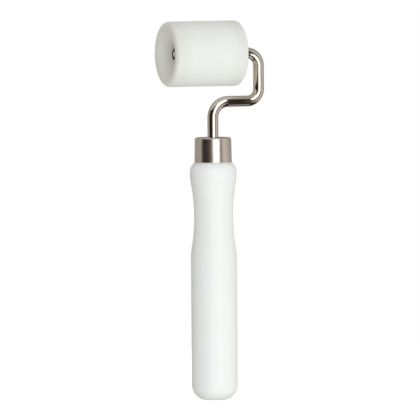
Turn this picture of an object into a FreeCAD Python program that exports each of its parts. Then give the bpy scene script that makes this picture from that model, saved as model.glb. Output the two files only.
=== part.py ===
import FreeCAD, Part
import math
import operator
import os
from types import SimpleNamespace

import Sketcher
from FreeCAD import Placement, Rotation, Vector

# Rubber brayer: a rubber-covered roller that spins on the end of a cranked wire frame,
# whose tang is moulded into a waisted handle under a plated ferrule.
#
# Millimetres. The origin is the centre of the handle's butt face and +Z runs up the handle.
# The roller's axle lies along X. The crank's upper leg stands on the +X side, inboard,
# and the axle ends inside the roller's outboard end, which faces -X.

DIMENSIONS = [
    # handle, from the butt up
    ("barrel_radius", 13.37, "radius of the grip's straight barrel"),
    ("butt_round", 8.87, "rounding of the butt, which leaves a small flat"),
    ("barrel_top", 84.0, "height at which the barrel starts to narrow"),
    ("waist_radius", 11.34, "radius of the finger waist"),
    ("waist_low", 106.0, "height at which the waist starts"),
    ("waist_high", 108.5, "height at which the waist ends"),
    ("lower_blend", 0.15, "share of the barrel-to-waist curve that bulges"),
    ("crest_radius", 13.58, "radius of the bulge under the shoulder"),
    ("crest_low", 131.3, "height at which the bulge is full"),
    ("crest_high", 133.0, "height at which the shoulder starts to round in"),
    ("upper_blend", 0.2, "share of the waist-to-crest curve that bulges"),
    ("shoulder_round", 7.0, "radius of the rounded shoulder"),
    # ferrule
    ("ferrule_height", 14.6, "height of the ferrule"),
    ("ferrule_foot", 10.9, "outer radius at the ferrule's foot"),
    ("ferrule_crown", 10.6, "outer radius at the ferrule's top, before rounding"),
    ("ferrule_wall", 0.7, "thickness of the drawn cap"),
    ("ferrule_round", 1.3, "rounding of the cap's top edge"),
    ("ferrule_bend", 0.6, "inside radius of the cap's top edge"),
    ("ferrule_dish", 0.25, "how far the cap's top sinks towards the wire"),
    ("tenon_gap", 0.3, "gap between the handle's tenon and the cap's top"),
    ("slip", 0.05, "clearance between still pieces that slip together"),
    # wire frame
    ("rod_radius", 3.175, "quarter-inch rod"),
    ("tang_depth", 45.0, "depth of the tang below the ferrule's foot"),
    ("tang_flats", 18.0, "length of the two flats that stop the tang turning"),
    ("level_height", 173.9, "height of the crank's level leg"),
    ("axle_height", 201.95, "height of the roller's axle"),
    ("crank_reach", 28.95, "distance from the handle's axis to the upper leg"),
    ("lower_bend", 9.4, "bend radius above the ferrule"),
    ("outer_bend", 7.1, "bend radius at the level leg's outer end"),
    ("upper_bend", 7.4, "bend radius into the axle"),
    ("journal_radius", 2.38, "turned-down end of the rod that the roller spins on"),
    ("tip_radius", 1.95, "turned tip of the axle that the retaining ring is pressed onto"),
    ("tip_inset", 5.3, "depth of the axle's end inside the roller's end plane"),
    ("tip_chamfer", 0.3, "chamfer at the axle's end"),
    # roller
    ("roller_radius", 19.05, "one and a half inch roller"),
    ("roller_length", 45.2, "length over the domed ends"),
    ("roller_shift", -6.7, "x of the roller's middle"),
    ("sleeve_wall", 6.35, "thickness of the rubber covering"),
    ("corner_round", 2.5, "rounding of the covering's outer corners"),
    ("crest_ring", 16.3, "radius at which the roller's end stands furthest out"),
    ("shoulder_bend", 5.0, "radius of the end's dome outside its crest"),
    ("lip_bend", 8.0, "radius of the lip inside the crest, which rolls into the bowl"),
    ("lip_ring", 11.0, "radius at which the lip becomes the bowl"),
    ("bowl_bend", 20.0, "radius of the bowl's side"),
    ("plate_inset", 6.4, "depth of the end hub's plate, which the rubber wraps over"),
    ("tube_wall", 1.3, "wall of the core tube"),
    ("hub_flange", 1.5, "thickness of the end hub's flange"),
    ("hub_end_inset", 13.4, "depth of the end hub's inner end"),
    ("collar_radius", 4.7, "radius of the hub's collar, where the rubber ends"),
    ("seat_radius", 3.9, "radius of the washer's seat in the collar"),
    ("floor_inset", 6.7, "depth of the washer seat's floor"),
    ("boss_radius", 6.2, "radius of the hub's inner boss"),
    ("skirt_wall", 1.6, "wall of the hub's skirt inside the tube"),
    ("web_thick", 2.4, "thickness of the hub's web"),
    ("bush_wall", 1.0, "wall of the plain bush"),
    ("running_gap", 0.05, "radial clearance between journal and bush"),
    ("washer_radius", 3.7, "outer radius of the thrust washers"),
    ("washer_thick", 0.6, "thickness of the thrust washers"),
    ("end_float", 0.1, "axial play between hub and washer"),
    # retaining ring
    ("ring_radius", 3.2, "outer radius of the retaining ring"),
    ("ring_inset", 5.15, "depth of the retaining ring's face"),
    ("ring_round", 0.3, "rounding of the retaining ring's face"),
]

doc = FreeCAD.newDocument("rubber_brayer")


# ---------------------------------------------------------------- sizes


def fill_sheet():
    """Put the driving dimensions in the sheet, one alias each."""
    sheet = doc.addObject("Spreadsheet::Sheet", "sizes")
    for row, (alias, number, meaning) in enumerate(DIMENSIONS, start=1):
        sheet.set(f"A{row}", meaning)
        sheet.set(f"B{row}", str(number))
        sheet.setAlias(f"B{row}", alias)
    doc.recompute()
    return sheet


class Size:
    """A number together with the formula over the sheet's cells that gives it."""

    def __init__(self, number, formula):
        self.number = number
        self.formula = formula

    def joined(self, sign, work, other, swapped=False):
        if not isinstance(other, Size):
            other = Size(other, repr(other))
        first, second = (other, self) if swapped else (self, other)
        number = work(first.number, second.number)
        return Size(number, f"({first.formula} {sign} {second.formula})")

    def __add__(self, other):
        return self.joined("+", operator.add, other)

    def __sub__(self, other):
        return self.joined("-", operator.sub, other)

    def __rsub__(self, other):
        return self.joined("-", operator.sub, other, swapped=True)

    def __mul__(self, other):
        return self.joined("*", operator.mul, other)

    def __rmul__(self, other):
        return self.joined("*", operator.mul, other, swapped=True)

    def __truediv__(self, other):
        return self.joined("/", operator.truediv, other)

    def __neg__(self):
        return 0 - self

    def root(self):
        return Size(math.sqrt(self.number), f"sqrt({self.formula})")


sheet = fill_sheet()
size = SimpleNamespace(**{
    alias: Size(float(sheet.get(alias)), f"{sheet.Name}.{alias}") for alias, _, _ in DIMENSIONS
})
ZERO = Size(0.0, "0")

# Sizes that several pieces share.
ferrule_foot_height = size.crest_high + 0.8 * size.shoulder_round
ferrule_top_height = ferrule_foot_height + size.ferrule_height
tang_end_height = ferrule_foot_height - size.tang_depth
core_radius = size.roller_radius - size.sleeve_wall
roller_end = size.roller_length / 2
bush_bore = size.journal_radius + size.running_gap
bush_radius = bush_bore + size.bush_wall
washer_inset = size.floor_inset - size.end_float - size.washer_thick
ring_back_inset = washer_inset - size.slip

# The roller's end in section: a bowl, a lip that rolls over to the crest, a slight dome, and a
# rounded corner. All of them are arcs, and each meets the next without a corner.
# Depths are measured into the roller from its end plane, which the crest touches.
lip_across = size.crest_ring - size.lip_ring
lip_depth = size.lip_bend - (size.lip_bend * size.lip_bend - lip_across * lip_across).root()
bowl_share = size.bowl_bend / size.lip_bend
bowl_centre_radius = size.lip_ring - lip_across * bowl_share
bowl_centre_depth = lip_depth - (size.lip_bend - lip_depth) * bowl_share

dome_less_corner = size.shoulder_bend - size.corner_round
corner_across = size.roller_radius - size.corner_round - size.crest_ring
corner_drop = (dome_less_corner * dome_less_corner - corner_across * corner_across).root()
corner_depth = size.shoulder_bend - corner_drop
dome_share = size.shoulder_bend / dome_less_corner
dome_end = (size.crest_ring + corner_across * dome_share, size.shoulder_bend - corner_drop * dome_share)


def bowl_depth(radius):
    """Depth of the bowl in the roller's end."""
    across = radius - bowl_centre_radius
    return bowl_centre_depth + (size.bowl_bend * size.bowl_bend - across * across).root()


# ---------------------------------------------------------------- sketch helpers


def bind(thing, path, value):
    """Bind a property to the sheet."""
    thing.setExpression(path, value.formula)


def new_body(label):
    body = doc.addObject("PartDesign::Body", label)
    body.Label = label
    return body


def new_sketch(body, name, role="XZ_Plane", lift=None):
    """A sketch on one of the body's own origin planes, lifted off it if asked."""
    sketch = body.newObject("Sketcher::SketchObject", f"{body.Name}_{name}")
    plane = next(item for item in body.Origin.OriginFeatures if item.Role == role)
    sketch.AttachmentSupport = [(plane, "")]
    sketch.MapMode = "FlatFace"
    if lift is not None:
        sketch.AttachmentOffset = Placement(Vector(0, 0, lift.number), Rotation())
        bind(sketch, "AttachmentOffset.Base.z", lift)
    return sketch


def fix_point(sketch, edge, end, across, up):
    """Hold one end of an edge, or its centre, at a bound place."""
    for kind, value, axis in (("DistanceX", across, -2), ("DistanceY", up, -1)):
        if value.number == 0:
            sketch.addConstraint(Sketcher.Constraint("PointOnObject", edge, end, axis))
            continue
        row = sketch.addConstraint(Sketcher.Constraint(kind, -1, 1, edge, end, value.number))
        bind(sketch, f"Constraints[{row}]", value)


def fix_radius(sketch, edge, radius):
    """Hold an arc or a circle at a bound radius."""
    row = sketch.addConstraint(Sketcher.Constraint("Radius", edge, radius.number))
    bind(sketch, f"Constraints[{row}]", radius)


def arc_between(start, end, radius, turn):
    """The short arc from start to end, anticlockwise for turn 1 and clockwise for turn -1."""
    chord = end - start
    rise = math.sqrt(radius ** 2 - (chord.Length / 2) ** 2)
    left = Vector(-chord.y, chord.x, 0).normalize()
    centre = (start + end) * 0.5 + left * (rise * turn)
    first, last = (start, end) if turn > 0 else (end, start)
    begin = math.atan2(first.y - centre.y, first.x - centre.x)
    finish = math.atan2(last.y - centre.y, last.x - centre.x)
    return Part.ArcOfCircle(Part.Circle(centre, Vector(0, 0, 1), radius), begin, finish)


def outline(sketch, *corners, closed=True):
    """Draw an outline through the corners, every one of them bound to the sheet.

    A corner is (across, up). One that is reached by an arc is (across, up, radius, turn).
    """
    places = [corner[:2] for corner in corners]
    points = [Vector(across.number, up.number, 0) for across, up in places]
    edges = []
    for step in [*range(1, len(corners)), *([0] if closed else [])]:
        start, end = points[step - 1], points[step]
        if len(corners[step]) == 4:
            radius, turn = corners[step][2:]
            edge = sketch.addGeometry(arc_between(start, end, radius.number, turn))
            fix_radius(sketch, edge, radius)
            head, tail = (1, 2) if turn > 0 else (2, 1)
        else:
            edge = sketch.addGeometry(Part.LineSegment(start, end))
            head, tail = 1, 2
        fix_point(sketch, edge, tail, *places[step])
        edges.append((edge, head, tail))
    for (edge, _, tail), (follower, head, _) in zip(edges, edges[1:]):
        sketch.addConstraint(Sketcher.Constraint("Coincident", edge, tail, follower, head))
    first_edge, first_head, _ = edges[0]
    if closed:
        last_edge, _, last_tail = edges[-1]
        joint = Sketcher.Constraint("Coincident", last_edge, last_tail, first_edge, first_head)
        sketch.addConstraint(joint)
    else:
        fix_point(sketch, first_edge, first_head, *places[0])


def disc(sketch, radius, across=ZERO):
    """Draw a bound circle centred on the sketch's horizontal axis."""
    centre = Vector(across.number, 0, 0)
    edge = sketch.addGeometry(Part.Circle(centre, Vector(0, 0, 1), radius.number))
    fix_point(sketch, edge, 3, across, ZERO)
    fix_radius(sketch, edge, radius)


def revolve(body, sketch, axis="V_Axis"):
    """Turn a sketch all the way round one of its own axes."""
    turned = body.newObject("PartDesign::Revolution", f"{sketch.Name}_turned")
    turned.Profile = sketch
    turned.ReferenceAxis = (sketch, [axis])
    turned.Angle = 360.0
    return turned


def turned_body(label, *corners):
    """A body turned about its local Z from an outline of (radius, height) corners."""
    body = new_body(label)
    profile = new_sketch(body, "profile")
    outline(profile, *corners)
    revolve(body, profile)
    return body


def pocket(body, sketch, length=None):
    """Cut a sketch into the body: up from the sketch by a length, or through it both ways."""
    doc.recompute()
    before = body.Shape.Volume
    cut = body.newObject("PartDesign::Pocket", f"{sketch.Name}_cut")
    cut.Profile = sketch
    if length is None:
        cut.Type = "ThroughAll"
        cut.Midplane = True
    else:
        cut.Reversed = True
        bind(cut, "Length", length)
    doc.recompute()
    if body.Shape.Volume > before - 1:
        raise RuntimeError(f"{sketch.Name} cut nothing")


def round_rims(body, radius, *rims):
    """Round the circular edges of the body's tip that have the given (radius, height) pairs."""
    doc.recompute()
    base = body.Tip
    names = []
    for number, edge in enumerate(base.Shape.Edges, start=1):
        if isinstance(edge.Curve, Part.Circle):
            here = (edge.Curve.Radius, edge.Curve.Center.z)
            if any(math.dist(here, (rim[0].number, rim[1].number)) < 1e-4 for rim in rims):
                names.append(f"Edge{number}")
    if len(names) != len(rims):
        raise RuntimeError(f"{body.Label}: found {len(names)} of {len(rims)} rims")
    rounding = body.newObject("PartDesign::Fillet", f"{base.Name}_rounded")
    rounding.Base = (base, names)
    rounding.Radius = radius.number
    bind(rounding, "Radius", radius)
    body.Tip = rounding


def place(body, across, up, rotation=Rotation()):
    """Set the body's place in the XZ plane, bound to the sheet."""
    body.Placement = Placement(Vector(across.number, 0, up.number), rotation)
    bind(body, "Placement.Base.x", across)
    bind(body, "Placement.Base.z", up)


# ---------------------------------------------------------------- handle and ferrule


def s_curve(start, end, first_share):
    """Two tangent arcs that leave start and reach end parallel to the handle's axis.

    Returns the point where they meet and their radii. The first takes first_share of the curve.
    """
    across = end[0] - start[0]
    rise = end[1] - start[1]
    step = across if across.number > 0 else -across
    both = (rise * rise + across * across) / (2 * step)
    meet = (start[0] + across * first_share, start[1] + rise * first_share)
    return meet, both * first_share, both * (1 - first_share)


def tang_section():
    """The rod's round section with two flats at 0.8 of its radius."""
    edge = 0.6 * size.rod_radius
    flat = 0.8 * size.rod_radius
    return [
        (edge, flat, size.rod_radius, 1),
        (-edge, flat),
        (-edge, -flat, size.rod_radius, 1),
        (edge, -flat),
    ]


def make_handle():
    """Waisted grip with a rounded butt, and a tenon that the ferrule caps."""
    barrel = (size.barrel_radius, size.barrel_top)
    waist_foot = (size.waist_radius, size.waist_low)
    waist_head = (size.waist_radius, size.waist_high)
    crest = (size.crest_radius, size.crest_low)
    shoulder = (size.crest_radius - 0.4 * size.shoulder_round, ferrule_foot_height)
    lower_meet, lower_bulge, lower_hollow = s_curve(barrel, waist_foot, size.lower_blend)
    upper_meet, upper_hollow, upper_bulge = s_curve(waist_head, crest, 1 - size.upper_blend)
    inside = size.ferrule_wall + size.slip
    tenon_top = ferrule_top_height - size.ferrule_wall - size.ferrule_dish - size.tenon_gap
    flats_top = tang_end_height + size.tang_flats
    body = turned_body(
        "handle",
        (ZERO, ZERO),
        (size.barrel_radius - size.butt_round, ZERO),
        (size.barrel_radius, size.butt_round, size.butt_round, 1),
        barrel,
        (*lower_meet, lower_bulge, 1),
        (*waist_foot, lower_hollow, -1),
        waist_head,
        (*upper_meet, upper_hollow, -1),
        (*crest, upper_bulge, 1),
        (size.crest_radius, size.crest_high),
        (*shoulder, size.shoulder_round, 1),
        (size.ferrule_foot - inside, ferrule_foot_height),
        (size.ferrule_crown - inside, tenon_top),
        (size.rod_radius, tenon_top),
        (size.rod_radius, flats_top),
        (ZERO, flats_top),
    )
    slot = new_sketch(body, "slot", role="XY_Plane", lift=tang_end_height)
    outline(slot, *tang_section())
    pocket(body, slot, size.tang_flats)
    return body


def make_ferrule():
    """Drawn metal cap over the handle's tenon, with a hole for the wire."""
    foot = ferrule_foot_height
    top = ferrule_top_height
    hole = size.rod_radius + size.slip
    inner_corner = (size.ferrule_crown - size.ferrule_wall, top - size.ferrule_wall)
    body = turned_body(
        "ferrule",
        (size.ferrule_foot - size.ferrule_wall, foot),
        (size.ferrule_foot, foot),
        (size.ferrule_crown, top),
        (hole, top - size.ferrule_dish),
        (hole, top - size.ferrule_dish - size.ferrule_wall),
        inner_corner,
    )
    round_rims(body, size.ferrule_round, (size.ferrule_crown, top))
    round_rims(body, size.ferrule_bend, inner_corner)
    return body


# ---------------------------------------------------------------- wire frame


def make_wire_frame():
    """One rod: axle journal, upper leg, level leg, lower leg and tang.

    The body's own origin is where the handle's axis crosses the axle's axis.
    """
    body = new_body("wire_frame")
    shoulder = size.roller_shift + roller_end - washer_inset
    level = size.level_height - size.axle_height
    tang_end = tang_end_height - size.axle_height

    section = new_sketch(body, "section", role="YZ_Plane", lift=shoulder)
    disc(section, size.rod_radius)
    path = new_sketch(body, "path")
    outline(
        path,
        (shoulder, ZERO),
        (size.crank_reach - size.upper_bend, ZERO),
        (size.crank_reach, -size.upper_bend, size.upper_bend, -1),
        (size.crank_reach, level + size.outer_bend),
        (size.crank_reach - size.outer_bend, level, size.outer_bend, -1),
        (size.lower_bend, level),
        (ZERO, level - size.lower_bend, size.lower_bend, 1),
        (ZERO, tang_end),
        closed=False,
    )
    rod = body.newObject("PartDesign::AdditivePipe", "wire_frame_rod")
    rod.Profile = section
    rod.Spine = (path, [f"Edge{number}" for number in range(1, path.GeometryCount + 1)])

    outboard = size.roller_shift - roller_end
    axle_end = outboard + size.tip_inset
    ring_back = outboard + ring_back_inset
    journal = new_sketch(body, "journal")
    outline(
        journal,
        (axle_end, ZERO),
        (shoulder, ZERO),
        (shoulder, size.journal_radius),
        (ring_back, size.journal_radius),
        (ring_back, size.tip_radius),
        (axle_end + size.tip_chamfer, size.tip_radius),
        (axle_end, size.tip_radius - size.tip_chamfer),
    )
    revolve(body, journal, axis="H_Axis")

    flat = 0.8 * size.rod_radius
    flats_top = tang_end + size.tang_flats
    for side in (1, -1):
        flats = new_sketch(body, "left_flat" if side > 0 else "right_flat", role="YZ_Plane")
        outline(
            flats,
            (side * flat, tang_end),
            (side * size.rod_radius, tang_end),
            (side * size.rod_radius, flats_top),
            (side * flat, flats_top),
        )
        pocket(body, flats)
    place(body, ZERO, size.axle_height)
    return body


# ---------------------------------------------------------------- roller

# Each end of the roller has a local frame: its origin is on the axle in the roller's end
# plane, and its Z points into the roller.
OUTBOARD = (size.roller_shift - roller_end, Rotation(Vector(0, 1, 0), 90))
INBOARD = (size.roller_shift + roller_end, Rotation(Vector(0, 1, 0), -90))


def place_at_end(body, end):
    across, rotation = end
    place(body, across, size.axle_height, rotation)


def end_section():
    """The covering's end from the hub's collar out to the cylinder, as outline corners."""
    return [
        (size.collar_radius, bowl_depth(size.collar_radius)),
        (size.lip_ring, lip_depth, size.bowl_bend, -1),
        (size.crest_ring, ZERO, size.lip_bend, 1),
        (*dome_end, size.shoulder_bend, 1),
        (size.roller_radius, corner_depth, size.corner_round, 1),
    ]


def mirrored(corners, length):
    """The same corners at the other end of the roller, walked the other way."""
    places = [(across, length - depth) for across, depth, *_ in reversed(corners)]
    bends = [corner[2:] for corner in reversed(corners[1:])]
    return [places[0], *[(*place, *bend) for place, bend in zip(places[1:], bends)]]


def make_sleeve():
    """Thick rubber covering that wraps over the core's ends and into their hollows."""
    far_plate = size.roller_length - size.plate_inset
    body = turned_body(
        "roller_sleeve",
        *end_section(),
        *mirrored(end_section(), size.roller_length),
        (size.collar_radius, far_plate),
        (core_radius, far_plate),
        (core_radius, size.plate_inset),
        (size.collar_radius, size.plate_inset),
    )
    place_at_end(body, OUTBOARD)
    return body


def make_core_tube():
    """Plain tube that the rubber is bonded to, between the two hubs' flanges."""
    low = size.plate_inset + size.hub_flange
    high = size.roller_length - low
    body = turned_body(
        "core_tube",
        (core_radius - size.tube_wall, low),
        (core_radius, low),
        (core_radius, high),
        (core_radius - size.tube_wall, high),
    )
    place_at_end(body, OUTBOARD)
    return body


def make_hub(label, end):
    """Plug pressed into the tube: a collar that ends the hollow, a washer seat and a boss."""
    flange_back = size.plate_inset + size.hub_flange
    skirt = core_radius - size.tube_wall
    skirt_inside = skirt - size.skirt_wall
    body = turned_body(
        label,
        (bush_radius, size.floor_inset),
        (size.seat_radius, size.floor_inset),
        (size.seat_radius, bowl_depth(size.seat_radius)),
        (size.collar_radius, bowl_depth(size.collar_radius), size.bowl_bend, -1),
        (size.collar_radius, size.plate_inset),
        (core_radius, size.plate_inset),
        (core_radius, flange_back),
        (skirt, flange_back),
        (skirt, size.hub_end_inset),
        (skirt_inside, size.hub_end_inset),
        (skirt_inside, size.plate_inset + size.web_thick),
        (size.boss_radius, size.floor_inset + size.web_thick),
        (size.boss_radius, size.hub_end_inset),
        (bush_radius, size.hub_end_inset),
    )
    place_at_end(body, end)
    return body


def make_bush(label, end):
    """Plain bearing bush pressed through the hub's boss."""
    body = turned_body(
        label,
        (bush_bore, size.floor_inset),
        (bush_radius, size.floor_inset),
        (bush_radius, size.hub_end_inset),
        (bush_bore, size.hub_end_inset),
    )
    place_at_end(body, end)
    return body


def make_thrust_washer(label, end):
    """Flat washer on the journal between the hub and what holds the roller on."""
    bore = size.journal_radius + size.slip
    back = washer_inset + size.washer_thick
    body = turned_body(
        label,
        (bore, washer_inset),
        (size.washer_radius, washer_inset),
        (size.washer_radius, back),
        (bore, back),
    )
    place_at_end(body, end)
    return body


def make_retaining_ring():
    """Black ring pressed onto the axle's tip, against the journal's shoulder."""
    face = size.ring_inset
    body = turned_body(
        "retaining_ring",
        (size.tip_radius, face),
        (size.ring_radius, face),
        (size.ring_radius, ring_back_inset),
        (size.tip_radius, ring_back_inset),
    )
    round_rims(body, size.ring_round, (size.tip_radius, face), (size.ring_radius, face))
    place_at_end(body, OUTBOARD)
    return body


# ---------------------------------------------------------------- build, check, write


def failed_objects():
    return [item.Name for item in doc.Objects if {"Invalid", "Error"} & set(item.State)]


def main():
    bodies = [
        make_handle(),
        make_ferrule(),
        make_wire_frame(),
        make_sleeve(),
        make_core_tube(),
        make_retaining_ring(),
    ]
    for name, end in (("outboard", OUTBOARD), ("inboard", INBOARD)):
        bodies.append(make_hub(f"hub_{name}", end))
        bodies.append(make_bush(f"bush_{name}", end))
        bodies.append(make_thrust_washer(f"thrust_washer_{name}", end))
    doc.recompute()

    if failed_objects():
        raise RuntimeError(f"failed to compute: {failed_objects()}")
    os.makedirs("parts", exist_ok=True)
    for body in bodies:
        shape = body.Shape
        if shape.isNull() or not shape.isValid() or len(shape.Solids) != 1:
            raise RuntimeError(f"{body.Label} isn't one valid solid")
        shape.exportStep(f"parts/{body.Label}.step")
        print(f"{body.Label:24} {shape.Volume:10.1f} mm3  {shape.BoundBox}")


main()
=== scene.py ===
import math

import bmesh
import bpy
from mathutils import Matrix, Vector


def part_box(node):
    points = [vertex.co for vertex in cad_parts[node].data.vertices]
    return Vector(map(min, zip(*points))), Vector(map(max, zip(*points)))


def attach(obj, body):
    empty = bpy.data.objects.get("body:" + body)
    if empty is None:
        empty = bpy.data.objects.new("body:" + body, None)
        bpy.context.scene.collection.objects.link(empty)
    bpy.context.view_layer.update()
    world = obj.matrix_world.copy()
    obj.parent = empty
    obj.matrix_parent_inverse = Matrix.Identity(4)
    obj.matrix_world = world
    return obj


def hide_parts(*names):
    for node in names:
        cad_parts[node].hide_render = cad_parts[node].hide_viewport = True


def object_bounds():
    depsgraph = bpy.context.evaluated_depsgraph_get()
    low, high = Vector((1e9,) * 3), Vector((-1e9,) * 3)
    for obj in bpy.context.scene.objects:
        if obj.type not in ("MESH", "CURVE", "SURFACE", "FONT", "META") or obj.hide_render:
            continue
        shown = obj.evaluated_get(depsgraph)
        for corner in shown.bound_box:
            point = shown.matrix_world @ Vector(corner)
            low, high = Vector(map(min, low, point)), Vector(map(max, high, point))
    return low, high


# Rubber brayer: a white rubber-covered roller on a cranked nickel-plated rod, with a ferruled
# white handle, upright in a white studio. Lengths are in metres, written as millimetres times MM.

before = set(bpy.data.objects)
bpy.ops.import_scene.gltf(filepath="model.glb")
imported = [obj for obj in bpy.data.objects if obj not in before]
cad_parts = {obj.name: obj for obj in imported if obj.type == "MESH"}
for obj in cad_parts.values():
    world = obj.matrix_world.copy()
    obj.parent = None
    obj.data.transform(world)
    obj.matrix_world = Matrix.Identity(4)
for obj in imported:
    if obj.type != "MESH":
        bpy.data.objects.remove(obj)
cad_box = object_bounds()

MM = 0.001

# ---------------------------------------------------------------- sizes from the frame

sleeve_low, sleeve_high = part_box("roller_sleeve")
wire_low, wire_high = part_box("wire_frame")
handle_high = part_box("handle")[1]
ferrule_low, ferrule_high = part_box("ferrule")
washer_low, washer_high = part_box("thrust_washer_outboard")
bush_low, bush_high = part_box("bush_outboard")
hub_low, hub_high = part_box("hub_outboard")
ring_low, ring_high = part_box("retaining_ring")

AXLE_HEIGHT = (sleeve_low.z + sleeve_high.z) / 2
ROLLER_RADIUS = (sleeve_high.z - sleeve_low.z) / 2
ROLLER_LENGTH = sleeve_high.x - sleeve_low.x
OUTBOARD_X = sleeve_low.x
INBOARD_X = sleeve_high.x
CORE_RADIUS = (hub_high.z - hub_low.z) / 2
HUB_END_INSET = hub_high.x - OUTBOARD_X
FLOOR_INSET = bush_low.x - OUTBOARD_X
BUSH_RADIUS = (bush_high.z - bush_low.z) / 2
WASHER_INSET = washer_low.x - OUTBOARD_X
WASHER_THICK = washer_high.x - washer_low.x
WASHER_RADIUS = (washer_high.z - washer_low.z) / 2
RING_INSET = ring_low.x - OUTBOARD_X
RING_BACK = ring_high.x - OUTBOARD_X
RING_RADIUS = (ring_high.z - ring_low.z) / 2
ROD_RADIUS = wire_high.y
CRANK_REACH = wire_high.x - ROD_RADIUS
AXLE_END_X = wire_low.x
TANG_END_HEIGHT = wire_low.z
FOOT_HEIGHT = ferrule_low.z
CREST_RADIUS = handle_high.x
TENON_TOP = handle_high.z

# ---------------------------------------------------------------- outlines and meshes

ARC_STEP = math.radians(4)
TURN_SEGMENTS = 192
SMALL_TURN_SEGMENTS = 96
SMALLEST_CORNER = math.radians(25)
SIDE_SHARE = 0.45
SAME_PLACE = 1e-7
SLACK = 1e-6


def arc_points(start, end, radius, turn):
    """Points along the short arc from start to end, leaving start out."""
    chord = end - start
    rise = math.sqrt(max(radius ** 2 - (chord.length / 2) ** 2, 0))
    left = Vector((-chord.y, chord.x)).normalized()
    centre = (start + end) / 2 + left * rise * turn
    first = math.atan2(start.y - centre.y, start.x - centre.x)
    sweep = 2 * math.asin(min(chord.length / 2 / radius, 1)) * turn
    count = max(2, math.ceil(abs(sweep) / ARC_STEP))
    angles = [first + sweep * step / count for step in range(1, count + 1)]
    return [centre + radius * Vector((math.cos(a), math.sin(a))) for a in angles]


def outline(*corners):
    """Outline points from (radius, height) corners; (radius, height, bend, turn) is reached by an arc."""
    points = [Vector(corners[0][:2])]
    for corner in corners[1:]:
        end = Vector(corner[:2])
        if len(corner) == 4:
            points += arc_points(points[-1], end, corner[2], corner[3])
        else:
            points.append(end)
    return points


def softened(points, radius, closed=True):
    """Round each corner of an outline that turns by SMALLEST_CORNER or more with a small arc."""
    count = len(points)
    result = []
    for here in range(count):
        point = points[here]
        before, after = points[here - 1], points[(here + 1) % count]
        at_end = not closed and here in (0, count - 1)
        back, ahead = before - point, after - point
        turn = math.pi - back.angle(ahead) if not at_end else 0
        if turn < SMALLEST_CORNER:
            result.append(point)
            continue
        reach = min(radius * math.tan(turn / 2), SIDE_SHARE * back.length, SIDE_SHARE * ahead.length)
        bend = reach / math.tan(turn / 2)
        side = 1 if back.x * ahead.y - back.y * ahead.x < 0 else -1
        start = point + back.normalized() * reach
        result.append(start)
        result += arc_points(start, point + ahead.normalized() * reach, bend, side)
    return result


def finished_mesh(name, vertices, faces, smooth_angle=40):
    """An object from lists of vertices and faces, closed, facing outwards and smooth shaded."""
    mesh = bpy.data.meshes.new(name)
    mesh.from_pydata(vertices, [], faces)
    work = bmesh.new()
    work.from_mesh(mesh)
    bmesh.ops.remove_doubles(work, verts=work.verts, dist=SAME_PLACE)
    bmesh.ops.recalc_face_normals(work, faces=work.faces)
    work.to_mesh(mesh)
    work.free()
    for polygon in mesh.polygons:
        polygon.use_smooth = True
    mesh.set_sharp_from_angle(angle=math.radians(smooth_angle))
    piece = bpy.data.objects.new(name, mesh)
    bpy.context.scene.collection.objects.link(piece)
    return piece


def even_angles(count=TURN_SEGMENTS):
    """Angles of one full turn in equal steps."""
    return [2 * math.pi * step / count for step in range(count)]


def band(lower, upper):
    """Faces between two rows of vertices. A row may be one vertex repeated."""
    faces = []
    for step in range(len(lower)):
        ahead = (step + 1) % len(lower)
        corners = (lower[step], lower[ahead], upper[ahead], upper[step])
        faces.append(tuple(dict.fromkeys(corners)))
    return faces


def lathe(name, points, angles=None, lift=None):
    """Turn an outline of (radius, height) points about Z. lift(angle, height) adds to the radius."""
    angles = angles or even_angles()
    rows = []
    vertices = []
    for point in points:
        if point.x < SAME_PLACE:
            rows.append([len(vertices)] * len(angles))
            vertices.append((0, 0, point.y))
            continue
        rows.append(list(range(len(vertices), len(vertices) + len(angles))))
        for angle in angles:
            radius = point.x + (lift(angle, point) if lift else 0)
            vertices.append((radius * math.cos(angle), radius * math.sin(angle), point.y))
    faces = []
    starts_on_axis = points[0].x < SAME_PLACE
    pairs = list(zip(rows, rows[1:])) + ([] if starts_on_axis else [(rows[-1], rows[0])])
    for lower, upper in pairs:
        faces += band(lower, upper)
    return finished_mesh(name, vertices, faces)


def put(piece, matrix):
    """Move a piece's mesh, leaving its object at the origin."""
    piece.data.transform(matrix)
    piece.data.update()
    return piece


def at_roller_end(side):
    """The place of a roller end: origin on the axle in the end plane, Z pointing into the roller."""
    end = OUTBOARD_X if side == "outboard" else INBOARD_X
    quarter = math.radians(90 if side == "outboard" else -90)
    return Matrix.Translation((end, 0, AXLE_HEIGHT)) @ Matrix.Rotation(quarter, 4, "Y")


def finish_piece(piece, body, nodes, material):
    """Give a piece its body and its material, and hide the CAD node it stands for."""
    piece.data.materials.append(material)
    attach(piece, body)
    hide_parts(nodes)
    return piece


# ---------------------------------------------------------------- node helpers

# Nearly all of a noise texture's values lie between these two.
NOISE_LOW = 0.3
NOISE_HIGH = 0.7
WHITE = (1, 1, 1)


def new_material(name):
    """A material, its node tree and its shader."""
    material = bpy.data.materials.new(name)
    material.use_nodes = True
    tree = material.node_tree
    shader = tree.nodes["Principled BSDF"]
    return material, tree, shader


def set_values(shader, **values):
    """Set a shader's own sockets; underscores stand for spaces."""
    for name, value in values.items():
        shader.inputs[name.replace("_", " ")].default_value = value


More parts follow.
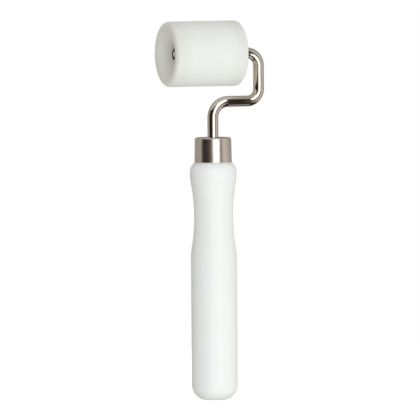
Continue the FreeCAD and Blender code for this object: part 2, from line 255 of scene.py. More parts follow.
def noise(tree, scale, detail=2.0, roughness=0.5, stretch=(1, 1, 1)):
    """A noise texture over the piece's own coordinates, in metres."""
    place = tree.nodes.new("ShaderNodeTexCoord")
    mapping = tree.nodes.new("ShaderNodeMapping")
    texture = tree.nodes.new("ShaderNodeTexNoise")
    mapping.inputs["Scale"].default_value = stretch
    texture.inputs["Scale"].default_value = scale
    texture.inputs["Detail"].default_value = detail
    texture.inputs["Roughness"].default_value = roughness
    tree.links.new(place.outputs["Object"], mapping.inputs["Vector"])
    tree.links.new(mapping.outputs["Vector"], texture.inputs["Vector"])
    return texture.outputs["Fac"]


def colour_between(tree, factor, low, high):
    """A colour that runs from low to high with a noise."""
    ramp = tree.nodes.new("ShaderNodeValToRGB")
    ramp.color_ramp.elements[0].position = NOISE_LOW
    ramp.color_ramp.elements[0].color = (*low, 1)
    ramp.color_ramp.elements[1].position = NOISE_HIGH
    ramp.color_ramp.elements[1].color = (*high, 1)
    tree.links.new(factor, ramp.inputs["Fac"])
    return ramp.outputs["Color"]


def number_between(tree, factor, low, high):
    """A number that runs from low to high with a noise."""
    spread = tree.nodes.new("ShaderNodeMapRange")
    spread.inputs["From Min"].default_value = NOISE_LOW
    spread.inputs["From Max"].default_value = NOISE_HIGH
    spread.inputs["To Min"].default_value = low
    spread.inputs["To Max"].default_value = high
    tree.links.new(factor, spread.inputs["Value"])
    return spread.outputs["Result"]


def smooth_step(tree, value, start, end, top=1.0):
    """0 at start, rising smoothly to top at end."""
    step = tree.nodes.new("ShaderNodeMapRange")
    step.interpolation_type = "SMOOTHSTEP"
    step.inputs["From Min"].default_value = start
    step.inputs["From Max"].default_value = end
    step.inputs["To Max"].default_value = top
    tree.links.new(value, step.inputs["Value"])
    return step.outputs["Result"]


def multiplied(tree, factor, colour, tint):
    """A colour times a plain tint, as far as a factor says."""
    mix = tree.nodes.new("ShaderNodeMix")
    mix.data_type = "RGBA"
    mix.blend_type = "MULTIPLY"
    mix.inputs["B"].default_value = (*tint, 1)
    tree.links.new(factor, mix.inputs["Factor"])
    tree.links.new(colour, mix.inputs["A"])
    return mix.outputs["Result"]


def add_bump(tree, shader, *layers):
    """Stack bump layers of (height, depth in metres) on a shader."""
    normal = None
    for height, depth in layers:
        bump = tree.nodes.new("ShaderNodeBump")
        bump.inputs["Strength"].default_value = 1.0
        bump.inputs["Distance"].default_value = depth
        tree.links.new(height, bump.inputs["Height"])
        if normal is not None:
            tree.links.new(normal, bump.inputs["Normal"])
        normal = bump.outputs["Normal"]
    tree.links.new(normal, shader.inputs["Normal"])


# ---------------------------------------------------------------- materials

# Painted shade: the roller greys towards its ends, where the translucent rubber loses light. (how far in
# from each end of the roller the tint reaches, the tint at the end itself)
EDGE_SHADE = [
    (13 * MM, (0.91, 0.90, 0.89)),
    (2 * MM, (0.965, 0.965, 0.955)),
]
# Radii on the roller's ends between which the painted shade in the bowl grows, darker and warmer towards
# the axle.
BOWL_SHADE_START = 12 * MM
BOWL_SHADE_FULL = 5 * MM
AXLE_SHADE = (0.91, 0.875, 0.78)

# How squarely a face looks up, from where the ferrule's top starts to darken to where it is darkest.
TOP_DARK_START = 0.9
TOP_DARK_FULL = 0.98


def roller_painted_shade(tree, colour):
    """Paint shade into a colour: grey it a little towards the roller's edges, and darken and warm it
    towards the axle in the bowl.
    """
    new, link = tree.nodes.new, tree.links.new
    middle = new("ShaderNodeVectorMath")
    middle.operation = "SUBTRACT"
    middle.inputs[1].default_value = ((OUTBOARD_X + INBOARD_X) / 2, 0, AXLE_HEIGHT)
    link(new("ShaderNodeTexCoord").outputs["Object"], middle.inputs[0])
    split = new("ShaderNodeSeparateXYZ")
    link(middle.outputs["Vector"], split.inputs["Vector"])
    along = new("ShaderNodeMath")
    along.operation = "ABSOLUTE"
    link(split.outputs["X"], along.inputs[0])
    across = new("ShaderNodeCombineXYZ")
    link(split.outputs["Y"], across.inputs["Y"])
    link(split.outputs["Z"], across.inputs["Z"])
    radius = new("ShaderNodeVectorMath")
    radius.operation = "LENGTH"
    link(across.outputs["Vector"], radius.inputs[0])
    edge = ROLLER_LENGTH / 2
    # Painted shade in the bowl: darker and warmer towards the axle.
    layers = [(smooth_step(tree, radius.outputs["Value"], BOWL_SHADE_START, BOWL_SHADE_FULL), AXLE_SHADE)]
    for reach, grey in EDGE_SHADE:
        layers.append((smooth_step(tree, along.outputs["Value"], edge - reach, edge), grey))
    for factor, tint in layers:
        colour = multiplied(tree, factor, colour, tint)
    return colour


def white_rubber():
    """Ground white rubber: satin, a little translucent, with a fine even tooth."""
    material, tree, shader = new_material("white_rubber")
    set_values(
        shader,
        Subsurface_Weight=0.85,
        Subsurface_Radius=(1.0, 0.95, 0.85),
        Subsurface_Scale=6 * MM,
        Specular_IOR_Level=0.3,
        IOR=1.45,
    )
    clouds = noise(tree, scale=60, detail=3)
    tooth = noise(tree, scale=2600, detail=2)
    plain = colour_between(tree, clouds, (0.76, 0.80, 0.765), (0.775, 0.815, 0.78))
    # Painted shade: the rubber's colour greys towards the roller's ends and darkens towards the axle in
    # the bowls.
    tree.links.new(roller_painted_shade(tree, plain), shader.inputs["Base Color"])
    tree.links.new(number_between(tree, clouds, 0.62, 0.7), shader.inputs["Roughness"])
    add_bump(tree, shader, (tooth, 0.015 * MM))
    return material


def moulded_plastic(name, low, high, gloss):
    """Moulded white plastic: faint flow clouding and a very slight orange peel."""
    material, tree, shader = new_material(name)
    set_values(
        shader,
        Subsurface_Weight=0.6,
        Subsurface_Radius=(1.0, 0.95, 0.85),
        Subsurface_Scale=2 * MM,
        IOR=1.49,
    )
    flow = noise(tree, scale=25, detail=3, stretch=(1, 1, 0.3))
    peel = noise(tree, scale=700, detail=1)
    grain = noise(tree, scale=3200, detail=2)
    tree.links.new(colour_between(tree, flow, low, high), shader.inputs["Base Color"])
    tree.links.new(number_between(tree, flow, gloss, gloss + 0.06), shader.inputs["Roughness"])
    add_bump(tree, shader, (peel, 0.02 * MM), (grain, 0.006 * MM))
    return material


def darkened_on_top(tree, colour, tint):
    """Multiply a colour by a tint on the faces that look straight up."""
    up = tree.nodes.new("ShaderNodeSeparateXYZ")
    tree.links.new(tree.nodes.new("ShaderNodeTexCoord").outputs["Normal"], up.inputs["Vector"])
    level = smooth_step(tree, up.outputs["Z"], TOP_DARK_START, TOP_DARK_FULL)
    return multiplied(tree, level, colour, tint)


def nickel_plate(name, polish, haziest, top_tint=WHITE):
    """Warm nickel with faint drawing marks, whose roughness runs from polish to haziest."""
    material, tree, shader = new_material(name)
    set_values(shader, Metallic=1.0)
    haze = noise(tree, scale=120, detail=4)
    drawn = noise(tree, scale=900, detail=3, stretch=(1, 1, 0.06))
    plated = colour_between(tree, haze, (0.78, 0.72, 0.64), (0.84, 0.78, 0.70))
    tree.links.new(darkened_on_top(tree, plated, top_tint), shader.inputs["Base Color"])
    tree.links.new(number_between(tree, haze, polish, haziest), shader.inputs["Roughness"])
    add_bump(tree, shader, (drawn, 0.004 * MM))
    return material


def black_oxide():
    """Blackened spring steel with a dull oily shine."""
    material, tree, shader = new_material("black_oxide")
    set_values(shader, Metallic=0.6)
    patches = noise(tree, scale=900, detail=3)
    tree.links.new(
        colour_between(tree, patches, (0.012, 0.012, 0.013), (0.03, 0.028, 0.027)),
        shader.inputs["Base Color"],
    )
    tree.links.new(number_between(tree, patches, 0.35, 0.5), shader.inputs["Roughness"])
    add_bump(tree, shader, (patches, 0.01 * MM))
    return material


def sintered_bronze():
    """Porous plain-bearing bronze."""
    material, tree, shader = new_material("sintered_bronze")
    set_values(shader, Metallic=1.0)
    pores = noise(tree, scale=2500, detail=4)
    tree.links.new(
        colour_between(tree, pores, (0.36, 0.23, 0.12), (0.62, 0.44, 0.26)),
        shader.inputs["Base Color"],
    )
    tree.links.new(number_between(tree, pores, 0.35, 0.6), shader.inputs["Roughness"])
    add_bump(tree, shader, (pores, 0.03 * MM))
    return material


# ---------------------------------------------------------------- handle and ferrule

BARREL_RADIUS = 13.37 * MM
BUTT_ROUND = 8.87 * MM
BARREL_TOP = 84.0 * MM
WAIST_RADIUS = 11.34 * MM
WAIST_LOW = 106.0 * MM
WAIST_HIGH = 108.5 * MM
CREST_LOW = 131.3 * MM
SHOULDER_ROUND = 7.0 * MM
SHOULDER_RISE = 0.8 * SHOULDER_ROUND
SHOULDER_INSET = 0.4 * SHOULDER_ROUND
CREST_HIGH = FOOT_HEIGHT - SHOULDER_RISE
LOWER_BULGE_SHARE = 0.15
UPPER_BULGE_SHARE = 0.2
FERRULE_FOOT = ferrule_high.x
FERRULE_CROWN = 10.6 * MM
FERRULE_WALL = 0.7 * MM
FERRULE_HEIGHT = 14.6 * MM
FERRULE_ROUND = 1.3 * MM
FERRULE_DISH = 0.25 * MM
FERRULE_CROWN_DROP = 0.04 * MM
FLATS_TOP = TANG_END_HEIGHT + 18.0 * MM
FLAT_REACH = 0.8 * ROD_RADIUS
ROD_EDGE = 0.12 * MM
SLIP = 0.05 * MM
HANDLE_EDGE = 0.15 * MM
FERRULE_EDGE = 0.25 * MM

SEAM_WIDTH = math.radians(0.5)
SEAM_HEIGHT = 0.05 * MM
SEAM_FOOT = BUTT_ROUND / 4
SEAM_TOP = FOOT_HEIGHT - SHOULDER_ROUND / 8
GATE_RADIUS = 1.6 * MM
GATE_DEPTH = 0.25 * MM


def s_curve(start, end, first_share):
    """Two tangent arcs that leave start and reach end parallel to the handle's axis."""
    across, rise = end[0] - start[0], end[1] - start[1]
    both = (rise ** 2 + across ** 2) / (2 * abs(across))
    meet = (start[0] + across * first_share, start[1] + rise * first_share)
    return meet, both * first_share, both * (1 - first_share)


def angles_with_seams():
    """Even angles, with close extra ones on each side of the two mould seams at +X and -X."""
    angles = even_angles()
    for seam in (0, math.pi):
        angles += [(seam + side * SEAM_WIDTH) % (2 * math.pi) for side in (-1, 1)]
    return sorted(angles)


def handle_relief(angle, point):
    """What the fine mould seams add to the handle's sides, and the tang's two flats to its bore."""
    if point.x <= ROD_RADIUS and TANG_END_HEIGHT - SLIP < point.y <= FLATS_TOP:
        flat = FLAT_REACH / max(abs(math.sin(angle)), SLACK)
        return min(0, flat - point.x)
    on_seam = min(abs(angle), abs(angle - math.pi)) < SLACK
    outside = point.x > FERRULE_FOOT and SEAM_FOOT < point.y < SEAM_TOP
    return SEAM_HEIGHT if on_seam and outside else 0


def make_handle(material):
    """Moulded grip: gate mark, rounded butt, barrel, waist, bulge, shoulder, tenon and bore."""
    barrel = (BARREL_RADIUS, BARREL_TOP)
    waist_foot = (WAIST_RADIUS, WAIST_LOW)
    waist_head = (WAIST_RADIUS, WAIST_HIGH)
    crest = (CREST_RADIUS, CREST_LOW)
    lower_meet, lower_bulge, lower_hollow = s_curve(barrel, waist_foot, LOWER_BULGE_SHARE)
    upper_meet, upper_hollow, upper_bulge = s_curve(waist_head, crest, 1 - UPPER_BULGE_SHARE)
    inside = FERRULE_WALL + SLIP
    points = outline(
        (0, GATE_DEPTH),
        (GATE_RADIUS, GATE_DEPTH),
        (GATE_RADIUS, 0),
        (BARREL_RADIUS - BUTT_ROUND, 0),
        (BARREL_RADIUS, BUTT_ROUND, BUTT_ROUND, 1),
        barrel,
        (*lower_meet, lower_bulge, 1),
        (*waist_foot, lower_hollow, -1),
        waist_head,
        (*upper_meet, upper_hollow, -1),
        (*crest, upper_bulge, 1),
        (CREST_RADIUS, CREST_HIGH),
        (CREST_RADIUS - SHOULDER_INSET, FOOT_HEIGHT, SHOULDER_ROUND, 1),
        (FERRULE_FOOT - inside, FOOT_HEIGHT),
        (FERRULE_CROWN - inside, TENON_TOP),
        (ROD_RADIUS, TENON_TOP),
        (ROD_RADIUS, FLATS_TOP + ROD_EDGE),
        (ROD_RADIUS, FLATS_TOP),
        (ROD_RADIUS, TANG_END_HEIGHT),
        (0, TANG_END_HEIGHT),
    )
    points = softened(points, HANDLE_EDGE, closed=False)
    piece = lathe("handle_moulding", points, angles_with_seams(), handle_relief)
    return finish_piece(piece, "frame", "handle", material)


def make_ferrule(material):
    """Thin drawn cap over the tenon, slightly tapered, with a dished top and a hole for the rod."""
    top = FOOT_HEIGHT + FERRULE_HEIGHT
    hole = ROD_RADIUS + SLIP
    lean = (FERRULE_FOOT - FERRULE_CROWN) / FERRULE_HEIGHT
    shoulder_height = top - FERRULE_ROUND
    shoulder = (FERRULE_CROWN + lean * FERRULE_ROUND, shoulder_height)
    inner_round = FERRULE_ROUND - FERRULE_WALL
    points = outline(
        (FERRULE_FOOT - FERRULE_WALL, FOOT_HEIGHT),
        (FERRULE_FOOT, FOOT_HEIGHT),
        shoulder,
        (FERRULE_CROWN - FERRULE_ROUND, top - FERRULE_CROWN_DROP, FERRULE_ROUND, 1),
        (hole, top - FERRULE_DISH),
        (hole, top - FERRULE_DISH - FERRULE_WALL),
        (FERRULE_CROWN - FERRULE_WALL - inner_round, top - FERRULE_WALL),
        (FERRULE_CROWN - FERRULE_WALL, top - FERRULE_WALL - inner_round, inner_round, -1),
    )
    piece = lathe("ferrule_cap", softened(points, FERRULE_EDGE))
    return finish_piece(piece, "frame", "ferrule", material)


# ---------------------------------------------------------------- wire frame

LEVEL_HEIGHT = 173.9 * MM
LOWER_BEND = 9.4 * MM
OUTER_BEND = 7.1 * MM
UPPER_BEND = 7.4 * MM
JOURNAL_RADIUS = 2.38 * MM
TIP_RADIUS = 1.95 * MM
TIP_CHAMFER = 0.3 * MM
ROD_SIDES = 64
SPARE_SIDE = 4 * ROD_RADIUS


def rod_stations():
    """(point in XZ, heading, radius) along the rod, from the axle's end to the tang's end."""
    shoulder = INBOARD_X - WASHER_INSET
    ring_back = OUTBOARD_X + RING_BACK
    profile = [
        (AXLE_END_X, 0),
        (AXLE_END_X, TIP_RADIUS - TIP_CHAMFER),
        (AXLE_END_X + TIP_CHAMFER, TIP_RADIUS),
        (ring_back, TIP_RADIUS),
        (ring_back, JOURNAL_RADIUS),
        (shoulder, JOURNAL_RADIUS),
        (shoulder, ROD_RADIUS),
        (shoulder + SPARE_SIDE, ROD_RADIUS),
    ]
    # The last point only gives the shoulder's corner a side to be rounded against.
    profile = softened([Vector(pair) for pair in profile], ROD_EDGE, closed=False)[:-1]
    stations = [(Vector((p.x, AXLE_HEIGHT)), 0.0, p.y) for p in profile]
    route = outline(
        (CRANK_REACH - UPPER_BEND, AXLE_HEIGHT),
        (CRANK_REACH, AXLE_HEIGHT - UPPER_BEND, UPPER_BEND, -1),
        (CRANK_REACH, LEVEL_HEIGHT + OUTER_BEND),
        (CRANK_REACH - OUTER_BEND, LEVEL_HEIGHT, OUTER_BEND, -1),
        (LOWER_BEND, LEVEL_HEIGHT),
        (0, LEVEL_HEIGHT - LOWER_BEND, LOWER_BEND, 1),
        (0, FLATS_TOP + ROD_EDGE),
        (0, FLATS_TOP),
        (0, TANG_END_HEIGHT),
    )
    # The first point has nothing behind it and heads along X; the last has nothing ahead of it.
    for here, point in enumerate(route):
        ahead = route[min(here + 1, len(route) - 1)] - point
        back = point - route[max(here - 1, 0)]
        if back.length == 0:
            ahead, back = Vector((1, 0)), Vector((1, 0))
        if ahead.length == 0:
            ahead = back
        along = ahead.normalized() + back.normalized()
        stations.append((point, math.atan2(along.y, along.x), ROD_RADIUS))
    stations.append((route[-1], math.radians(-90), 0))
    return stations


def make_wire_frame(material):
    """One bent rod, from the axle's turned tip down to the tang's flats."""
    vertices, rows = [], []
    for point, heading, radius in rod_stations():
        if radius == 0:
            rows.append([len(vertices)] * ROD_SIDES)
            vertices.append((point.x, 0, point.y))
            continue
        rows.append(list(range(len(vertices), len(vertices) + ROD_SIDES)))
        across = Vector((-math.sin(heading), math.cos(heading)))
        in_flats = point.y <= FLATS_TOP + SLACK
        for angle in even_angles(ROD_SIDES):
            side = radius * math.sin(angle)
            if in_flats:
                side = max(-FLAT_REACH, min(FLAT_REACH, side))
            spot = point + across * radius * math.cos(angle)
            vertices.append((spot.x, side, spot.y))
    faces = []
    for lower, upper in zip(rows, rows[1:]):
        faces += band(lower, upper)
    piece = finished_mesh("wire_rod", vertices, faces)
    return finish_piece(piece, "frame", "wire_frame", material)


# ---------------------------------------------------------------- roller

CORNER_ROUND = 2.5 * MM
CREST_RING = 16.3 * MM
SHOULDER_BEND = 5.0 * MM
LIP_BEND = 8.0 * MM
LIP_RING = 11.0 * MM
BOWL_BEND = 20.0 * MM
COLLAR_RADIUS = 4.7 * MM
SEAT_RADIUS = 3.9 * MM
PLATE_INSET = 6.4 * MM
HUB_FLANGE = 1.5 * MM
TUBE_WALL = 1.3 * MM
BOSS_RADIUS = 6.2 * MM
SKIRT_WALL = 1.6 * MM
WEB_THICK = 2.4 * MM
RING_ROUND = 0.3 * MM
ROLLER_EDGE = 0.1 * MM
WASHER_EDGE = 0.15 * MM
RING_EDGE = 0.08 * MM

LIP_DEPTH = LIP_BEND - math.sqrt(LIP_BEND ** 2 - (CREST_RING - LIP_RING) ** 2)


def bowl_depth(radius):
    """Depth of the bowl in the roller's end, which carries on from the lip without a corner."""
    share = BOWL_BEND / LIP_BEND
    across = radius - (LIP_RING - (CREST_RING - LIP_RING) * share)
    centre_depth = LIP_DEPTH - (LIP_BEND - LIP_DEPTH) * share
    return centre_depth + math.sqrt(BOWL_BEND ** 2 - across ** 2)


def end_section():
    """The roller's end from the hub's collar out to the cylinder: bowl, lip, narrow dome and corner."""
    across = ROLLER_RADIUS - CORNER_ROUND - CREST_RING
    drop = math.sqrt((SHOULDER_BEND - CORNER_ROUND) ** 2 - across ** 2)
    share = SHOULDER_BEND / (SHOULDER_BEND - CORNER_ROUND)
    dome_end = (CREST_RING + across * share, SHOULDER_BEND - drop * share)
    return [
        (COLLAR_RADIUS, bowl_depth(COLLAR_RADIUS)),
        (LIP_RING, LIP_DEPTH, BOWL_BEND, -1),
        (CREST_RING, 0, LIP_BEND, 1),
        (*dome_end, SHOULDER_BEND, 1),
        (ROLLER_RADIUS, SHOULDER_BEND - drop, CORNER_ROUND, 1),
    ]


def make_sleeve(material):
    """The rubber covering, turned from the same section at both ends and hollow for the core."""
    far_plate = ROLLER_LENGTH - PLATE_INSET
    near_end = outline(*end_section())
    far_end = [Vector((point.x, ROLLER_LENGTH - point.y)) for point in reversed(near_end)]
    inside = outline(
        (COLLAR_RADIUS, far_plate),
        (CORE_RADIUS, far_plate),
        (CORE_RADIUS, PLATE_INSET),
        (COLLAR_RADIUS, PLATE_INSET),
    )
    points = softened(near_end + far_end + inside, ROLLER_EDGE)
    piece = put(lathe("rubber_covering", points), at_roller_end("outboard"))
    return finish_piece(piece, "roller", "roller_sleeve", material)


def make_hub(side, material):
    """One end of the core: a collar level with the bowl, a flange, a skirt, a web and a boss."""
    skirt = CORE_RADIUS - TUBE_WALL
    points = outline(
        (BUSH_RADIUS, FLOOR_INSET),
        (SEAT_RADIUS, FLOOR_INSET),
        (SEAT_RADIUS, bowl_depth(SEAT_RADIUS)),
        (COLLAR_RADIUS, bowl_depth(COLLAR_RADIUS), BOWL_BEND, -1),
        (COLLAR_RADIUS, PLATE_INSET),
        (CORE_RADIUS, PLATE_INSET),
        (CORE_RADIUS, PLATE_INSET + HUB_FLANGE),
        (skirt, PLATE_INSET + HUB_FLANGE),
        (skirt, HUB_END_INSET),
        (skirt - SKIRT_WALL, HUB_END_INSET),
        (skirt - SKIRT_WALL, PLATE_INSET + WEB_THICK),
        (BOSS_RADIUS, FLOOR_INSET + WEB_THICK),
        (BOSS_RADIUS, HUB_END_INSET),
        (BUSH_RADIUS, HUB_END_INSET),
    )
    piece = lathe(f"collared_hub_{side}", softened(points, ROLLER_EDGE))
    put(piece, at_roller_end(side))
    return finish_piece(piece, "roller", f"hub_{side}", material)


def make_washer(side, material):
    """A flat washer on the journal."""
    bore = JOURNAL_RADIUS + SLIP
    back = WASHER_INSET + WASHER_THICK
    points = outline(
        (bore, WASHER_INSET),
        (WASHER_RADIUS, WASHER_INSET),
        (WASHER_RADIUS, back),
        (bore, back),
    )
    points = softened(points, WASHER_EDGE)
    piece = lathe(f"nylon_washer_{side}", points, even_angles(SMALL_TURN_SEGMENTS))
    put(piece, at_roller_end(side))
    return finish_piece(piece, "frame", f"thrust_washer_{side}", material)


def make_ring(material):
    """Black ring pressed onto the axle's tip, its face rounded at both rims."""
    points = outline(
        (TIP_RADIUS, RING_INSET + RING_ROUND),
        (TIP_RADIUS + RING_ROUND, RING_INSET, RING_ROUND, 1),
        (RING_RADIUS - RING_ROUND, RING_INSET),
        (RING_RADIUS, RING_INSET + RING_ROUND, RING_ROUND, 1),
        (RING_RADIUS, RING_BACK),
        (TIP_RADIUS, RING_BACK),
    )
    piece = lathe("black_press_ring", softened(points, RING_EDGE), even_angles(SMALL_TURN_SEGMENTS))
    put(piece, at_roller_end("outboard"))
    return finish_piece(piece, "frame", "retaining_ring", material)


# ---------------------------------------------------------------- studio

VIEW_AZIMUTH = math.radians(-22)
VIEW_ELEVATION = math.radians(2.3)
VIEW_ROLL = math.radians(-0.45)
VIEW_DISTANCE = 10.0
LENS = 1471.7
SENSOR_WIDTH = 36
AIM_LEFT = 2.05 * MM
AIM_RISE = 0.3 * MM
FLOOR_HALF = 0.6
FLOOR_GLOW = 0.75
FLOOR_PAINT = 0.6


def make_camera():
    """Long lens on the roller's outboard side, a little above the middle of the tool."""
    low, high = cad_box
    around, up = VIEW_AZIMUTH, VIEW_ELEVATION
    towards = Vector((math.sin(around) * math.cos(up), -math.cos(around) * math.cos(up), math.sin(up)))
    right = Vector((math.cos(around), math.sin(around), 0))
    aim = Vector((0, 0, (low.z + high.z) / 2 + AIM_RISE)) - right * AIM_LEFT
    data = bpy.data.cameras.new("camera")
    data.lens = LENS
    data.sensor_width = SENSOR_WIDTH
    camera = bpy.data.objects.new("camera", data)
    bpy.context.scene.collection.objects.link(camera)
    look = (-towards).to_track_quat("-Z", "Y").to_matrix().to_4x4()
    roll = Matrix.Rotation(VIEW_ROLL, 4, "Z")
    camera.matrix_world = Matrix.Translation(aim + towards * VIEW_DISTANCE) @ look @ roll
    bpy.context.scene.camera = camera


def make_floor():
    """Plain white floor, too bright for a shadow to show, that sends no light back to the tool."""
    vertices = [(x * FLOOR_HALF, y * FLOOR_HALF, 0) for x, y in ((-1, -1), (1, -1), (1, 1), (-1, 1))]
    mesh = bpy.data.meshes.new("floor")
    mesh.from_pydata(vertices, [], [(0, 1, 2, 3)])
    floor = bpy.data.objects.new("floor", mesh)
    bpy.context.scene.collection.objects.link(floor)
    material = bpy.data.materials.new("white_floor")
    material.use_nodes = True
    tree = material.node_tree
    tree.nodes.clear()
    glow = tree.nodes.new("ShaderNodeEmission")
    paint = tree.nodes.new("ShaderNodeBsdfDiffuse")
    both = tree.nodes.new("ShaderNodeAddShader")
    output = tree.nodes.new("ShaderNodeOutputMaterial")
    glow.inputs["Strength"].default_value = FLOOR_GLOW
    paint.inputs["Color"].default_value = (FLOOR_PAINT, FLOOR_PAINT, FLOOR_PAINT, 1)
    tree.links.new(glow.outputs["Emission"], both.inputs[0])
    tree.links.new(paint.outputs["BSDF"], both.inputs[1])
    tree.links.new(both.outputs["Shader"], output.inputs["Surface"])
    mesh.materials.append(material)
    floor.visible_diffuse = False
    floor.visible_glossy = False
    floor.visible_shadow = False


# What polished metal sees around it: (degrees to the camera's right, brightness, tint).
# One broad softbox stands just right of the camera, with a black cloth on each side of it.
SOFTBOX = 1.7
WALLS = [
    (-180, 0.37, "warm"),
    (-79, 0.39, "warm"),
    (-70, 0.015, "brown"),
    (-30, 0.012, "brown"),
    (-14, 0.10, "brown"),
    (-4, 0.32, "warm"),
    (0, 0.6, "white"),
    (4.5, SOFTBOX, "white"),
    (40, SOFTBOX, "white"),
    (42.5, 0.01, "brown"),
    (49, 0.01, "brown"),
    (53, 0.3, "warm"),
    (60, 0.42, "warm"),
    (68, 0.62, "warm"),
    (92, 0.56, "warm"),
    (124, 0.37, "warm"),
    (180, 0.37, "warm"),
]
CEILING = 0.4
SKIRT = 0.025
GROUND = 0.58

# Heights on the unit sphere of directions between which the walls turn into each of those three.
CEILING_SPAN = (0.6, 0.76)
SKIRT_SPAN = (-0.5, -0.7)
GROUND_SPAN = (-0.88, -0.93)
TINTS = {"brown": (1.0, 0.62, 0.5), "warm": (1.0, 0.94, 0.87), "white": (1.0, 1.0, 1.0)}

# What matt surfaces see: a warm fill, stronger on the right, and one soft key light.
FILL = (0.66, 0.625, 0.60)
FILL_LEAN = 0.18
KEY = 1.32
KEY_COLOUR = (0.96, 1.0, 1.06)
KEY_AZIMUTH = VIEW_AZIMUTH + math.radians(12)
KEY_ELEVATION = math.radians(-4)
KEY_SPAN = (0.6, 1.0)


def scaled(level, tint):
    """A wall's colour as a share of the softbox's brightness."""
    return (*[level / SOFTBOX * part for part in TINTS[tint]], 1)


def mixed(tree, factor, first, second):
    """A colour that goes from first, a socket, to second, a plain colour."""
    mix = tree.nodes.new("ShaderNodeMix")
    mix.data_type = "RGBA"
    mix.inputs["B"].default_value = second
    tree.links.new(factor, mix.inputs["Factor"])
    tree.links.new(first, mix.inputs["A"])
    return mix.outputs["Result"]


def studio_for_metal(tree, direction):
    """Background shader: the walls by azimuth, with a warm ceiling, a dark skirt and a lighter ground."""
    new, link = tree.nodes.new, tree.links.new
    turn = new("ShaderNodeVectorRotate")
    turn.rotation_type = "Z_AXIS"
    turn.inputs["Angle"].default_value = -VIEW_AZIMUTH
    link(direction, turn.inputs["Vector"])
    split = new("ShaderNodeSeparateXYZ")
    link(turn.outputs["Vector"], split.inputs["Vector"])
    back = new("ShaderNodeMath")
    back.operation = "MULTIPLY"
    back.inputs[1].default_value = -1
    link(split.outputs["Y"], back.inputs[0])
    around = new("ShaderNodeMath")
    around.operation = "ARCTAN2"
    link(split.outputs["X"], around.inputs[0])
    link(back.outputs["Value"], around.inputs[1])
    share = new("ShaderNodeMapRange")
    share.inputs["From Min"].default_value = -math.pi
    share.inputs["From Max"].default_value = math.pi
    link(around.outputs["Value"], share.inputs["Value"])
    walls = new("ShaderNodeValToRGB")
    stops = walls.color_ramp.elements
    while len(stops) < len(WALLS):
        stops.new(0.5)
    for stop, (degrees, level, tint) in zip(stops, WALLS):
        stop.position = (degrees + 180) / 360
        stop.color = scaled(level, tint)
    link(share.outputs["Result"], walls.inputs["Fac"])
    high = smooth_step(tree, split.outputs["Z"], *CEILING_SPAN)
    low = smooth_step(tree, split.outputs["Z"], *SKIRT_SPAN)
    lowest = smooth_step(tree, split.outputs["Z"], *GROUND_SPAN)
    colour = mixed(tree, high, walls.outputs["Color"], scaled(CEILING, "warm"))
    colour = mixed(tree, low, colour, scaled(SKIRT, "brown"))
    colour = mixed(tree, lowest, colour, scaled(GROUND, "warm"))
    studio = new("ShaderNodeBackground")
    studio.inputs["Strength"].default_value = SOFTBOX
    link(colour, studio.inputs["Color"])
    return studio.outputs["Background"]


def facing(tree, direction, towards):
    """How squarely a direction points towards another: 1 along it, -1 away from it."""
    dot = tree.nodes.new("ShaderNodeVectorMath")
    dot.operation = "DOT_PRODUCT"
    dot.inputs[1].default_value = towards
    tree.links.new(direction, dot.inputs[0])
    return dot.outputs["Value"]


def studio_for_matt(tree, direction):
    """Background shader: the fill from everywhere plus the soft key light."""
    new, link = tree.nodes.new, tree.links.new
    reach = math.cos(KEY_ELEVATION)
    key_way = (math.sin(KEY_AZIMUTH) * reach, -math.cos(KEY_AZIMUTH) * reach, math.sin(KEY_ELEVATION))
    key = new("ShaderNodeBackground")
    key.inputs["Color"].default_value = (*KEY_COLOUR, 1)
    key_level = smooth_step(tree, facing(tree, direction, key_way), *KEY_SPAN, KEY)
    link(key_level, key.inputs["Strength"])
    right_way = (math.cos(VIEW_AZIMUTH), math.sin(VIEW_AZIMUTH), 0)
    lean = new("ShaderNodeMath")
    lean.operation = "MULTIPLY_ADD"
    lean.inputs[1].default_value = FILL_LEAN
    lean.inputs[2].default_value = 1.0
    link(facing(tree, direction, right_way), lean.inputs[0])
    fill = new("ShaderNodeBackground")
    fill.inputs["Color"].default_value = (*FILL, 1)
    link(lean.outputs["Value"], fill.inputs["Strength"])
    both = new("ShaderNodeAddShader")
    link(key.outputs["Background"], both.inputs[0])
    link(fill.outputs["Background"], both.inputs[1])
    return both.outputs["Shader"]


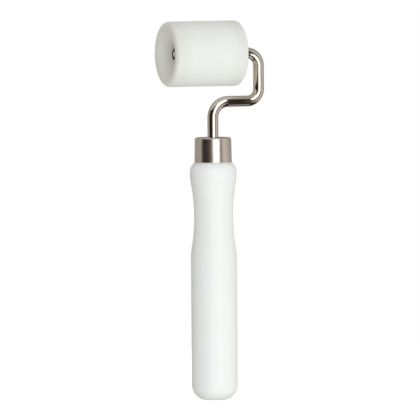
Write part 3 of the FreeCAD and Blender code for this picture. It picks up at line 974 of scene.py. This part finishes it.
def make_world():
    """White to the camera, a striped studio to glossy rays, and soft light to all others."""
    world = bpy.data.worlds.new("studio")
    bpy.context.scene.world = world
    world.use_nodes = True
    tree = world.node_tree
    tree.nodes.clear()
    new, link = tree.nodes.new, tree.links.new
    direction = new("ShaderNodeTexCoord").outputs["Generated"]
    path = new("ShaderNodeLightPath")
    backdrop = new("ShaderNodeBackground")
    backdrop.inputs["Color"].default_value = (1, 1, 1, 1)
    by_gloss = new("ShaderNodeMixShader")
    link(path.outputs["Is Glossy Ray"], by_gloss.inputs["Fac"])
    link(studio_for_matt(tree, direction), by_gloss.inputs[1])
    link(studio_for_metal(tree, direction), by_gloss.inputs[2])
    by_camera = new("ShaderNodeMixShader")
    link(path.outputs["Is Camera Ray"], by_camera.inputs["Fac"])
    link(by_gloss.outputs["Shader"], by_camera.inputs[1])
    link(backdrop.outputs["Background"], by_camera.inputs[2])
    output = new("ShaderNodeOutputWorld")
    link(by_camera.outputs["Shader"], output.inputs["Surface"])


# ---------------------------------------------------------------- make everything

make_camera()
make_floor()
make_world()
bpy.context.scene.view_settings.view_transform = "Standard"

rubber = white_rubber()
handle_plastic = moulded_plastic(
    "handle_plastic", low=(0.80, 0.845, 0.825), high=(0.815, 0.86, 0.84), gloss=0.4
)
core_plastic = moulded_plastic(
    "core_plastic", low=(0.60, 0.57, 0.49), high=(0.64, 0.61, 0.53), gloss=0.42
)
bright_nickel = nickel_plate("bright_nickel", polish=0.05, haziest=0.1)
# The ferrule's top is darkened where its faces look straight up.
satin_nickel = nickel_plate("satin_nickel", polish=0.19, haziest=0.24, top_tint=(0.35, 0.32, 0.28))
steel = black_oxide()
bronze = sintered_bronze()

make_handle(handle_plastic)
make_ferrule(satin_nickel)
make_wire_frame(bright_nickel)
make_sleeve(rubber)
make_ring(steel)
for end in ("outboard", "inboard"):
    make_hub(end, core_plastic)
    make_washer(end, core_plastic)
    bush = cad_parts[f"bush_{end}"]
    bush.material_slots[0].material = bronze
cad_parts["core_tube"].material_slots[0].material = core_plastic
